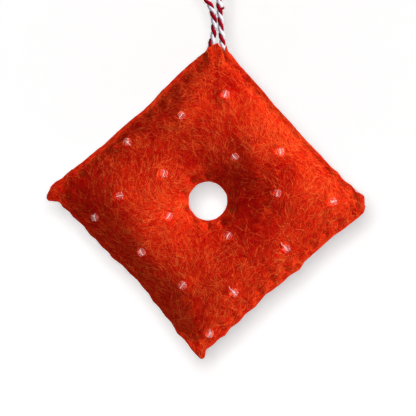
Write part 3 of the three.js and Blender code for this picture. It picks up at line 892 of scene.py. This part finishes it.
def over_lumps(points, lumps):
    """The felt over uneven filling, which fades out towards the sides and the hole."""
    flat = flat_of(points)
    from_side = np.min([(corner(side) - flat) @ outward(side) for side in range(4)], axis=0)
    from_hole = np.linalg.norm(flat - HOLE_MIDDLE, axis=1) - HOLE_RADIUS
    crown = np.clip(from_side / LUMPS_FROM_SIDE, 0, 1) * np.clip(from_hole / LUMPS_FROM_HOLE, 0, 1)
    rise = sum(height * noise_at(points, wave, seed) for height, wave, seed in SMALL_LUMPS)
    for right, up, height, width in lumps:
        rise += height * near_place(flat, (right, up), width)
    return raised(points, crown * rise)


MOUTH_RISE = 0.5
TWINE_CLEARANCE = 0.2
TWINE_BULGE_WIDTH = 1.1
TWINE_BULGE_REACH = 3.5


def over_twine(points):
    """The felt bulges over the strands that run down between the layers."""
    inside = whole_twine[whole_twine[:, 2] < TOP_CORNER[2] + MOUTH_RISE] - PILLOW_MIDDLE
    gaps = ((points[:, None, [0, 2]] - inside[None, ::3, [0, 2]]) ** 2).sum(2)
    near = np.sqrt(gaps.min(1))
    need = PLY_RADIUS + PLY_OFFSET + TWINE_CLEARANCE - SEWN_GAP / 2
    room = np.clip(1 - np.abs(points[:, 1]) / TWINE_BULGE_REACH, 0, 1)
    return raised(points, need * room * np.exp(-(near / TWINE_BULGE_WIDTH) ** 4))


# Bead places and bores as packed, in the pillow's own millimetres
BEADS = []
for joint in frame["joints"]:
    if joint["child"].startswith("seed_bead_"):
        number = joint["child"][-2:]
        middle = np.array(joint["pos_m"]) / MM - PILLOW_MIDDLE
        low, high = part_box("bead_thread_" + number)
        under = np.array((low + high) / 2) / MM - PILLOW_MIDDLE
        bore = unit(np.array(joint["axis"], float))
        rise = middle - under
        BEADS.append((number, middle, bore, unit(rise - bore * (rise @ bore))))

BEAD_PULL_WIDTH = 2.8
BEAD_PULL_REACH = 8.0
BEAD_PULL_DEPTH = 6.0
CUP_RISE = 0.08
CUP_RADIUS = 1.35
CUP_WIDTH = 0.5


def under_beads(points, tree):
    """The front felt is drawn to each bead's foot and cups its underside."""
    moved = points.copy()
    for _, middle, _, up in BEADS:
        spot = tree.ray_cast(Vector(middle + BEAD_PULL_DEPTH * up), Vector(-up))[0]
        pull = BEAD_SINK - BEAD_DIAMETER / 2 - (np.array(spot) - middle) @ up
        off = points - middle
        deep = off @ up
        wide = np.linalg.norm(off - deep[:, None] * up, axis=1)
        close = (wide < BEAD_PULL_REACH) & (points[:, 1] < 0) & (np.abs(deep) < BEAD_PULL_DEPTH)
        cup = CUP_RISE * np.exp(-((wide - CUP_RADIUS) / CUP_WIDTH) ** 2)
        foot = pull * np.exp(-(wide / BEAD_PULL_WIDTH) ** 2) + cup
        moved[close] += foot[close, None] * up
    return moved


def panel_triangles(piece):
    piece.data.calc_loop_triangles()
    corners = np.zeros(len(piece.data.loop_triangles) * 3, np.int32)
    piece.data.loop_triangles.foreach_get("vertices", corners)
    return points_of(piece), corners.reshape(-1, 3)


def felt_tree(*pieces):
    points, triangles, count = [], [], 0
    for piece in pieces:
        found, corners = panel_triangles(piece)
        points.append(found)
        triangles.append(corners + count)
        count += len(found)
    return BVHTree.FromPolygons(np.vstack(points).tolist(), np.vstack(triangles).tolist())


def felt_panel(name, sheet, facing, lumps, corners):
    """One felt: its inner face given its thickness, rounded at the cut edges and drawn by its stitches."""
    rays, rings = sheet.shape[:2]
    faces = grid_faces(np.arange(rays * rings).reshape(rays, rings))
    if facing > 0:
        faces = [face[::-1] for face in faces]
    piece = new_piece(name, sheet.reshape(-1, 3) + [0.0, facing * SEWN_GAP / 2, 0.0], faces)
    wall = piece.modifiers.new("Solidify", "SOLIDIFY")
    wall.thickness = FELT_THICKNESS * MM
    wall.offset = 1.0
    wall.edge_crease_outer = 1.0
    subdivide(piece, 2)
    points = over_twine(pulled_by_stitches(over_lumps(points_of(piece), lumps)))
    points = drawn_sides(shaped_corners(points, corners))
    points[:, 1] -= facing * SEAM_PRESS
    if facing < 0:
        points = creased(trimmed_top(points))
        set_points(piece, points)
        points = under_beads(points, felt_tree(piece))
    set_points(piece, points + PILLOW_MIDDLE)
    smooth_shade(piece)
    return piece


# Painted shade and light on the front felt: right of and above the middle, deeper red for painted shade or
# more orange for painted light, and width
PAINTED_SHADE_AND_LIGHT = [
    (11.0, 1.0, -0.9, 9.0), (22.0, 6.0, -0.5, 6.0), (-39.0, -1.0, -0.9, 9.0), (-26.0, -14.0, -0.4, 8.0),
    (-1.0, 11.0, -0.4, 6.0), (-20.0, 16.0, -0.4, 8.0), (-13.0, -2.0, 0.4, 7.0), (23.0, 20.0, 0.7, 11.0),
    (36.0, -3.0, 0.4, 8.0), (23.0, -20.0, 0.3, 8.0), (13.0, -11.0, -0.6, 9.0), (8.0, 34.0, -0.7, 5.0),
    (-13.0, -26.0, -0.2, 9.0), (4.0, -11.0, -0.4, 5.0), (21.0, -11.0, -0.4, 6.0),
]


def dye_and_painted_light_at(points, painted_clouds):
    """Random uneven dye plus the clouds' painted shade and light, from -1 for deep red to 1 for orange, at
    places from the pillow's middle.
    """
    dye_and_light = 0.35 * noise_at(points, 7.0, 21)
    # Painted shade and light: each cloud makes the felt deeper red where it lies in shade or more orange
    # where it is lit
    for right, up, amount, width in painted_clouds:
        dye_and_light = dye_and_light + amount * near_place(flat_of(points), (right, up), width)
    return np.clip(dye_and_light, -1, 1)


def dye_and_paint_felt(piece, painted_clouds):
    layer = piece.data.attributes.new("tone_with_painted_light", "FLOAT", "POINT")
    dye_and_light = dye_and_painted_light_at(points_of(piece) - PILLOW_MIDDLE, painted_clouds)
    layer.data.foreach_set("value", dye_and_light.astype(np.float32))
    piece.data.materials.append(felt_cloth)


front_sheet, back_sheet = felt_sheets()
front_felt = felt_panel("front_felt", front_sheet, -1, FRONT_LUMPS, FRONT_CORNERS)
back_felt = felt_panel("back_felt", back_sheet, 1, BACK_LUMPS, BACK_CORNERS)
felt_cloth = felt_material()
# The front felt gets the painted shade and light, the back only its random dye
dye_and_paint_felt(front_felt, PAINTED_SHADE_AND_LIGHT)
dye_and_paint_felt(back_felt, [])


# Loose fibres lying over the felt, each a three-sided hair
FIBRES_EACH = 9800
FIBRE_POINTS = 4
FIBRE_LAY = math.radians(-60)
FIBRE_TURNS = np.array([math.pi / 2, math.pi * 7 / 6, math.pi * 11 / 6])
FIBRE_TAPER = np.array([0.6, 1, 0.9, 0.4])
FIBRE_LENGTH = (0.8, 6.5)
FIBRE_RADIUS = (0.024, 0.05)
FIBRE_ARCH = (0.04, 0.2)
FIBRE_SINK = 0.02
LOOSE_SHARE = 0.12
LOOSE_REACH = (0.2, 0.7)
CLEAR_OF_BEADS = 0.95
FRONT_SEED = 40
BACK_SEED = 50


def fibre_roots(piece, facing, rng):
    """Places spread evenly over a felt's face, and the way out of the felt at each."""
    points, triangles = panel_triangles(piece)
    a, b, c = (points[triangles[:, k]] for k in range(3))
    normal = np.cross(b - a, c - a)
    area = np.linalg.norm(normal, axis=1)
    area[normal[:, 1] * facing < 0.0] = 0.0
    chosen = rng.choice(len(area), FIBRES_EACH, p=area / area.sum())
    u, v = rng.uniform(size=(2, FIBRES_EACH, 1))
    turned = u + v > 1
    u, v = np.where(turned, 1 - u, u), np.where(turned, 1 - v, v)
    return a[chosen] + u * (b - a)[chosen] + v * (c - a)[chosen], unit(normal[chosen])


def fibre_runs(place, up, rng):
    """A gently curled run of points from each place."""
    swirl = FIBRE_LAY + 2.2 * noise_at(place, 14.0, 5) + rng.normal(0, 0.6, FIBRES_EACH)
    level = unit(np.cross(up, [0.0, 0.0, 1.0]))
    way = np.cos(swirl)[:, None] * level + np.sin(swirl)[:, None] * np.cross(up, level)
    length = np.clip(rng.lognormal(0.95, 0.45, FIBRES_EACH), *FIBRE_LENGTH)
    step = length[:, None] / (FIBRE_POINTS - 1)
    curl = rng.normal(0, 0.2, FIBRES_EACH)[:, None]
    runs = [place]
    for _ in range(FIBRE_POINTS - 1):
        way = unit(way * np.cos(curl) + np.cross(up, way) * np.sin(curl))
        runs.append(runs[-1] + way * step)
    return np.stack(runs, axis=1)


def fibre_tones(place, painted_clouds, rng):
    # The fibres' tone takes the clouds' painted shade and light as well as its random spread
    tone = 0.47 + 0.8 * noise_at(place, 0.7, 9) + 0.3 * dye_and_painted_light_at(place - PILLOW_MIDDLE, painted_clouds)
    return np.clip(tone + rng.normal(0, 0.29, FIBRES_EACH), 0.01, 0.99)


def laid_on(piece, facing, runs):
    """The runs brought down to the felt, its normals there, and which of them stay clear of the beads."""
    tree = felt_tree(piece)
    lying = np.zeros_like(runs)
    normals = np.zeros_like(runs)
    for spot in np.ndindex(runs.shape[:2]):
        lying[spot], normals[spot] = tree.find_nearest(Vector(runs[spot]))[:2]
    keep = (normals[..., 1] * facing > -0.2).all(axis=1)
    for _, middle, _, _ in BEADS:
        gaps = np.linalg.norm(lying - middle - PILLOW_MIDDLE, axis=2)
        keep &= gaps.min(axis=1) > CLEAR_OF_BEADS
    return lying[keep], normals[keep], keep


def hair_faces(count):
    quads = []
    for k in range(0, 3 * (FIBRE_POINTS - 1), 3):
        for s in range(3):
            n = (s + 1) % 3
            quads.append((k + s, k + n, k + 3 + n, k + 3 + s))
    end = 3 * (FIBRE_POINTS - 1)
    caps = [(2, 1, 0), (end, end + 1, end + 2)]
    base = np.arange(count)[:, None, None] * 3 * FIBRE_POINTS
    faces = (np.array(quads) + base).reshape(-1, 4).tolist()
    return faces + (np.array(caps) + base).reshape(-1, 3).tolist()


def hair_map(tone):
    """Each hair mapped to a spot of its own tone."""
    quad = np.array([(-0.003, 0.3), (0.003, 0.3), (0.003, 0.7), (-0.003, 0.7)])
    cap = np.array([(-0.003, 0.3), (0.003, 0.3), (0.0, 0.7)])
    shift = tone[:, None, None, None] * np.array([1.0, 0.0])
    quads = np.tile(quad, (len(tone), 3 * (FIBRE_POINTS - 1), 1, 1)) + shift
    caps = np.tile(cap, (len(tone), 2, 1, 1)) + shift
    return np.vstack([quads.reshape(-1, 2), caps.reshape(-1, 2)])


def felt_fibres(name, piece, facing, seed, painted_clouds):
    """Hairs that arch a little off the felt, some with a free end."""
    rng = np.random.default_rng(seed)
    place, up = fibre_roots(piece, facing, rng)
    runs = fibre_runs(place, up, rng)
    tone = fibre_tones(place, painted_clouds, rng)
    lying, normals, keep = laid_on(piece, facing, runs)
    count = len(lying)
    share = np.linspace(0, 1, FIBRE_POINTS)
    arch = rng.uniform(*FIBRE_ARCH, count)[:, None] * np.sin(math.pi * share)
    loose = (rng.uniform(size=count) < LOOSE_SHARE) * rng.uniform(*LOOSE_REACH, count)
    lift = arch + loose[:, None] * share ** 2 - FIBRE_SINK
    spine = lying + lift[..., None] * normals
    side = unit(np.cross(unit(np.gradient(spine, axis=1)), normals))
    radius = rng.uniform(*FIBRE_RADIUS, count)[:, None] * FIBRE_TAPER
    ring = np.cos(FIBRE_TURNS)[:, None] * side[:, :, None]
    ring = ring + np.sin(FIBRE_TURNS)[:, None] * normals[:, :, None]
    points = spine[:, :, None] + radius[:, :, None, None] * ring
    made = new_piece(name, points.reshape(-1, 3), hair_faces(count), hair_map(tone[keep]))
    smooth_shade(made)
    made.data.materials.append(loose_fibres)
    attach(made, "pillow")
    return made


loose_fibres = fibre_material()
front_fibres = [
    felt_fibres(f"front_fibres_{i + 1}", front_felt, -1, FRONT_SEED + i, PAINTED_SHADE_AND_LIGHT) for i in range(4)
]
back_fibres = [felt_fibres(f"back_fibres_{i + 1}", back_felt, 1, BACK_SEED + i, []) for i in range(3)]


# Stuffing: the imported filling, pressed out like a pad
STUFFING_CAP = 0.5
STUFFING_CORE = 0.5
STUFFING_GRAIN = 1.1


def pressed_stuffing():
    node = frame["nodes"]["stuffing"]
    piece = bpy.data.objects.new("fibre_stuffing", node.data.copy())
    scene.collection.objects.link(piece)
    piece.data.materials.clear()
    make_active(piece)
    bpy.ops.object.mode_set(mode="EDIT")
    bpy.ops.mesh.select_all(action="SELECT")
    bpy.ops.mesh.remove_doubles(threshold=0.01 * MM)
    bpy.ops.object.mode_set(mode="OBJECT")
    grain = piece.modifiers.new("Remesh", "REMESH")
    grain.mode = "VOXEL"
    grain.voxel_size = STUFFING_GRAIN * MM
    apply_modifiers(piece)
    points = points_of(piece) - PILLOW_MIDDLE
    faces = [list(p.vertices) for p in piece.data.polygons]
    core = np.nonzero(np.abs(points[:, 1]) < STUFFING_CORE)[0]
    set_points(piece, swollen(points, faces, core, STUFFING_CAP) + PILLOW_MIDDLE)
    subdivide(piece, 1)
    smooth_shade(piece)
    piece.data.materials.append(stuffing_material())
    return piece


stuffing = pressed_stuffing()
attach(stuffing, "pillow")
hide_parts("stuffing")

FELTS = ((front_felt, "front_panel", front_fibres), (back_felt, "back_panel", back_fibres))
for piece, node, over in FELTS:
    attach(piece, "pillow")
    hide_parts(node)


# Whip-stitched threads, lying on the finished felt
THREAD_SPACING = 0.22
THREAD_SIDES = 6
WRAP_TURNS = np.radians((-72, -36, 0, 36, 72))
FACE_SEARCH = 20.0
FACE_GUESS = 1.7
WRAP_SEARCH = 7.0
WRAP_INSET = 2.5
WRAP_SINK = 0.25
PIERCE_SINK = 0.2
RUN_SINK = 0.1


def touched(tree, start, way, fallback):
    spot = tree.ray_cast(Vector(start), Vector(way))[0]
    return np.array(spot) if spot is not None else fallback


def in_pillow(flat, out):
    return np.array([flat[0], out, flat[1]]) + PILLOW_MIDDLE


def on_face(tree, flat, facing, sink):
    """The place on the front or back face under a flat place, sunk a little."""
    start, fallback = in_pillow(flat, facing * FACE_SEARCH), in_pillow(flat, facing * FACE_GUESS)
    return touched(tree, start, (0.0, -facing, 0.0), fallback) - np.array([0.0, facing * sink, 0.0])


def over_edge(tree, turn, way):
    """Places round the felts' edges from the front to the back."""
    out = np.array([way[0], 0.0, way[1]])
    inner = in_pillow(turn, 0.0) - WRAP_INSET * out
    rays = np.cos(WRAP_TURNS)[:, None] * out + np.sin(WRAP_TURNS)[:, None] * [0.0, 1.0, 0.0]
    spots = [touched(tree, inner + WRAP_SEARCH * ray, -ray, inner + ray) for ray in rays]
    reach = ((np.array(spots) - inner) * rays).sum(axis=1)
    reach[2] = max(reach[2], (reach[1] + reach[3]) / 2)
    return list(inner + (reach - WRAP_SINK)[:, None] * rays)


def whip_thread(name, tree, stitches, closed):
    """One thread up through each needle hole, over the edge and on behind to the next hole."""
    knots = []
    for i, (pierce, turn, way) in enumerate(stitches):
        follow = stitches[(i + 1) % len(stitches)][0]
        knots.append(on_face(tree, pierce, 1, PIERCE_SINK))
        knots.append(in_pillow(pierce, 0.0))
        knots.append(on_face(tree, pierce, -1, PIERCE_SINK))
        if not closed and i == len(stitches) - 1:
            break
        knots.append(on_face(tree, pierce + 0.5 * (turn - pierce), -1, RUN_SINK))
        knots += over_edge(tree, turn, way)
        knots.append(on_face(tree, turn + 0.5 * (follow - turn), 1, RUN_SINK))
    if closed:
        knots.append(knots[0])
    path = smooth_route(knots, THREAD_SPACING)
    tubes = Tubes()
    for strand, _ in ply_paths(path, THREAD_PLY_OFFSET, THREAD_TWIST):
        tubes.add(strand, THREAD_PLY_RADIUS, THREAD_SIDES)
    piece = tubes.piece(name)
    piece.data.materials.append(sewing_thread)
    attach(piece, "pillow")
    return piece


sewing_thread = thread_material("orange_sewing_thread", (0.55, 0.025, 0.006), (0.82, 0.085, 0.014), 0.9)
both_felts = felt_tree(front_felt, back_felt)
edge_thread = whip_thread("edge_whip_thread", both_felts, EDGE_STITCHES, False)
rim_thread = whip_thread("rim_whip_thread", both_felts, RIM_STITCH_PLACES, True)
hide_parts("edge_stitching")
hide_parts("rim_stitching")


# Glass seed beads, and the stitch that holds each: along the bore, down into the felt, and across
HALF_BEAD = BEAD_LENGTH / 2
GROUND_FROM = 0.8 * HALF_BEAD
GROUND_TO = 0.9 * HALF_BEAD
BEAD_GRIP = 0.95 * HALF_BEAD
STITCH_FOOT = BEAD_DIAMETER / 2 + FELT_THICKNESS
BEAD_STITCH = [
    (-BEAD_GRIP, STITCH_FOOT, 0), (-BEAD_GRIP, 0.6, 0), (-0.85 * BEAD_GRIP, 0.15, 0), (-0.5, 0, 0),
    (0.5, 0, 0), (0.85 * BEAD_GRIP, 0.15, 0), (BEAD_GRIP, 0.6, 0), (BEAD_GRIP, STITCH_FOOT, 0),
    (0, STITCH_FOOT + 0.3, 0), (-BEAD_GRIP, STITCH_FOOT, 0),
]
THREAD_TAIL = [
    (-0.7, 0.1, 0), (-1.1, 0.25, 0.05), (-1.5, 0.5, 0.2), (-1.9, 0.7, 0.15), (-2.2, 0.85, -0.1),
]
BEAD_THREAD_SPACING = 0.16


def select_points(piece, wanted):
    bpy.ops.mesh.select_all(action="DESELECT")
    bpy.ops.object.mode_set(mode="OBJECT")
    for vertex in piece.data.vertices:
        vertex.select = bool(wanted(vertex.co))
    bpy.ops.object.mode_set(mode="EDIT")


def bead_blank():
    """A ring drawn out to a barrel, its ends ground flat and its rims softened."""
    wall = (BEAD_DIAMETER - BEAD_BORE) / 4 * MM
    bpy.ops.object.select_all(action="DESELECT")
    bpy.ops.mesh.primitive_torus_add(
        major_radius=BEAD_BORE / 2 * MM + wall, minor_radius=wall, major_segments=24, minor_segments=12
    )
    blank = bpy.context.object
    bpy.ops.object.mode_set(mode="EDIT")
    bpy.ops.mesh.select_mode(type="VERT")
    bpy.ops.mesh.select_all(action="SELECT")
    bpy.ops.transform.resize(value=(1, 1, HALF_BEAD * MM / wall))
    for end in (-1, 1):
        select_points(blank, lambda co: co.z * end > GROUND_FROM * MM)
        bpy.ops.transform.resize(value=(1, 1, 0), center_override=(0, 0, end * GROUND_TO * MM))
    bpy.ops.object.mode_set(mode="OBJECT")
    subdivide(blank, 1)
    smooth_shade(blank)
    return blank


def bead_stitch(number, middle, bore, up):
    """The bead's own thread, through the bore and down through the felt."""
    across = np.cross(bore, up)
    tubes = Tubes()
    for places in (BEAD_STITCH, THREAD_TAIL) if number in TAILED_BEADS else (BEAD_STITCH,):
        knots = [middle + PILLOW_MIDDLE + on * bore - deep * up + out * across for on, deep, out in places]
        tubes.add(smooth_route(knots, BEAD_THREAD_SPACING), BEAD_THREAD_RADIUS, THREAD_SIDES)
    piece = tubes.piece("bead_stitch_" + number)
    piece.data.materials.append(bead_thread)
    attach(piece, "pillow")
    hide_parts("bead_thread_" + number)


bead_thread = thread_material("white_bead_thread", (0.42, 0.37, 0.36), (0.64, 0.58, 0.57), 0.7)
clear_glass = glass_material()
blank = bead_blank()
for number, middle, bore, up in BEADS:
    bead = bpy.data.objects.new("glass_bead_" + number, blank.data.copy())
    scene.collection.objects.link(bead)
    turned = Vector((0, 0, 1)).rotation_difference(Vector(bore)).to_matrix().to_4x4()
    bead.data.transform(Matrix.Translation(Vector((middle + PILLOW_MIDDLE) * MM)) @ turned)
    bead.data.materials.append(clear_glass)
    bead.visible_shadow = False
    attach(bead, "seed_bead_" + number)
    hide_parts("seed_bead_" + number)
    bead_stitch(number, middle, bore, up)
bpy.data.objects.remove(blank)


# White backdrop and floor, the backdrop seen from its front only
BACKDROP_BEHIND = 0.14
BACKDROP_SIZE = 1.6
BACKDROP_GLOW = 0.33
FLOOR_BELOW = -0.32
FLOOR_SIZE = 6.0
FLOOR_GLOW = 0.8


def seen_rays(nodes):
    """1 for what the camera sees, straight on or by way of gloss and glass."""
    rays = nodes.add("ShaderNodeLightPath").outputs
    seen = nodes.maths("MAXIMUM", rays["Is Camera Ray"], rays["Is Glossy Ray"])
    return nodes.maths("MAXIMUM", seen, rays["Is Transmission Ray"])


def backdrop_material(name, glow_level, one_sided):
    material, nodes, shader = new_material(name, 1.0, 0.0)
    shader.inputs["Base Color"].default_value = (0.95, 0.95, 0.95, 1)
    strength = nodes.maths("MULTIPLY", seen_rays(nodes), glow_level)
    glow = nodes.add("ShaderNodeEmission", Color=(1, 1, 1, 1), Strength=strength)
    result = nodes.add("ShaderNodeAddShader", i0=shader.outputs[0], i1=glow.outputs[0]).outputs[0]
    if one_sided:
        back = nodes.add("ShaderNodeNewGeometry").outputs["Backfacing"]
        shadow = nodes.add("ShaderNodeLightPath").outputs["Is Shadow Ray"]
        unseen = nodes.maths("MAXIMUM", back, shadow)
        clear = nodes.add("ShaderNodeBsdfTransparent").outputs[0]
        result = nodes.add("ShaderNodeMixShader", Fac=unseen, i1=result, i2=clear).outputs[0]
    nodes.join(result, material.node_tree.nodes["Material Output"].inputs["Surface"])
    return material


def stage_plane(name, size, place, turn, glow_level, one_sided):
    bpy.ops.object.select_all(action="DESELECT")
    bpy.ops.mesh.primitive_plane_add(size=size, location=place, rotation=turn)
    plane = bpy.context.object
    plane.name = name
    plane.data.materials.append(backdrop_material(name, glow_level, one_sided))
    return plane


behind = (0.0, BACKDROP_BEHIND, VIEW_CENTRE.z)
below = (0.0, 0.0, FLOOR_BELOW)
backdrop = stage_plane("backdrop", BACKDROP_SIZE, behind, (math.pi / 2, 0.0, 0.0), BACKDROP_GLOW, True)
floor = stage_plane("floor", FLOOR_SIZE, below, (0.0, 0.0, 0.0), FLOOR_GLOW, False)


# Light: a soft key from the right, a broad weak fill, a lamp for the back and one that throws the shadow
WORLD_LEVEL = 0.10


def lamp(name, place, size, power):
    data = bpy.data.lights.new(name, "AREA")
    data.shape = "DISK"
    data.size = size
    data.energy = power
    made = bpy.data.objects.new(name, data)
    made.location = VIEW_CENTRE + Vector(place)
    made.rotation_euler = Vector(place).to_track_quat("Z", "Y").to_euler()
    scene.collection.objects.link(made)
    return made


def light_only(light, things, state):
    """Keeps a lamp off the named things, or on them alone."""
    linked = bpy.data.collections.new(light.name + "_linked")
    light.light_linking.receiver_collection = linked
    for thing in things:
        linked.objects.link(thing)
    for entry in linked.collection_objects:
        entry.light_linking.link_state = state


key_lamp = lamp("key_lamp", (0.727, -0.378, 0.371), 0.3, 14.6)
fill_lamp = lamp("fill_lamp", (-0.1, -1.2, 0.2), 0.5, 3.0)
back_lamp = lamp("back_lamp", (0.3, 1.2, 0.2), 0.4, 14.0)
shadow_lamp = lamp("shadow_lamp", (-0.012, -1.2, 0.0256), 0.074, 8.5)
key_lamp.visible_glossy = False
lit_behind = (back_felt, *back_fibres, edge_thread, rim_thread, twine_loop, twine_left, twine_right)
light_only(back_lamp, lit_behind, "INCLUDE")
light_only(key_lamp, (backdrop, floor), "EXCLUDE")
light_only(fill_lamp, (backdrop, floor), "EXCLUDE")
light_only(shadow_lamp, (backdrop, floor), "INCLUDE")

world = bpy.data.worlds.new("studio")
scene.world = world
world.use_nodes = True
sky = Nodes(world.node_tree)
background = world.node_tree.nodes["Background"]
background.inputs["Color"].default_value = (1, 1, 1, 1)
sky.join(sky.spread(seen_rays(sky), 0.0, 1.0, WORLD_LEVEL, 1.0), background.inputs["Strength"])

scene.view_settings.view_transform = "Standard"
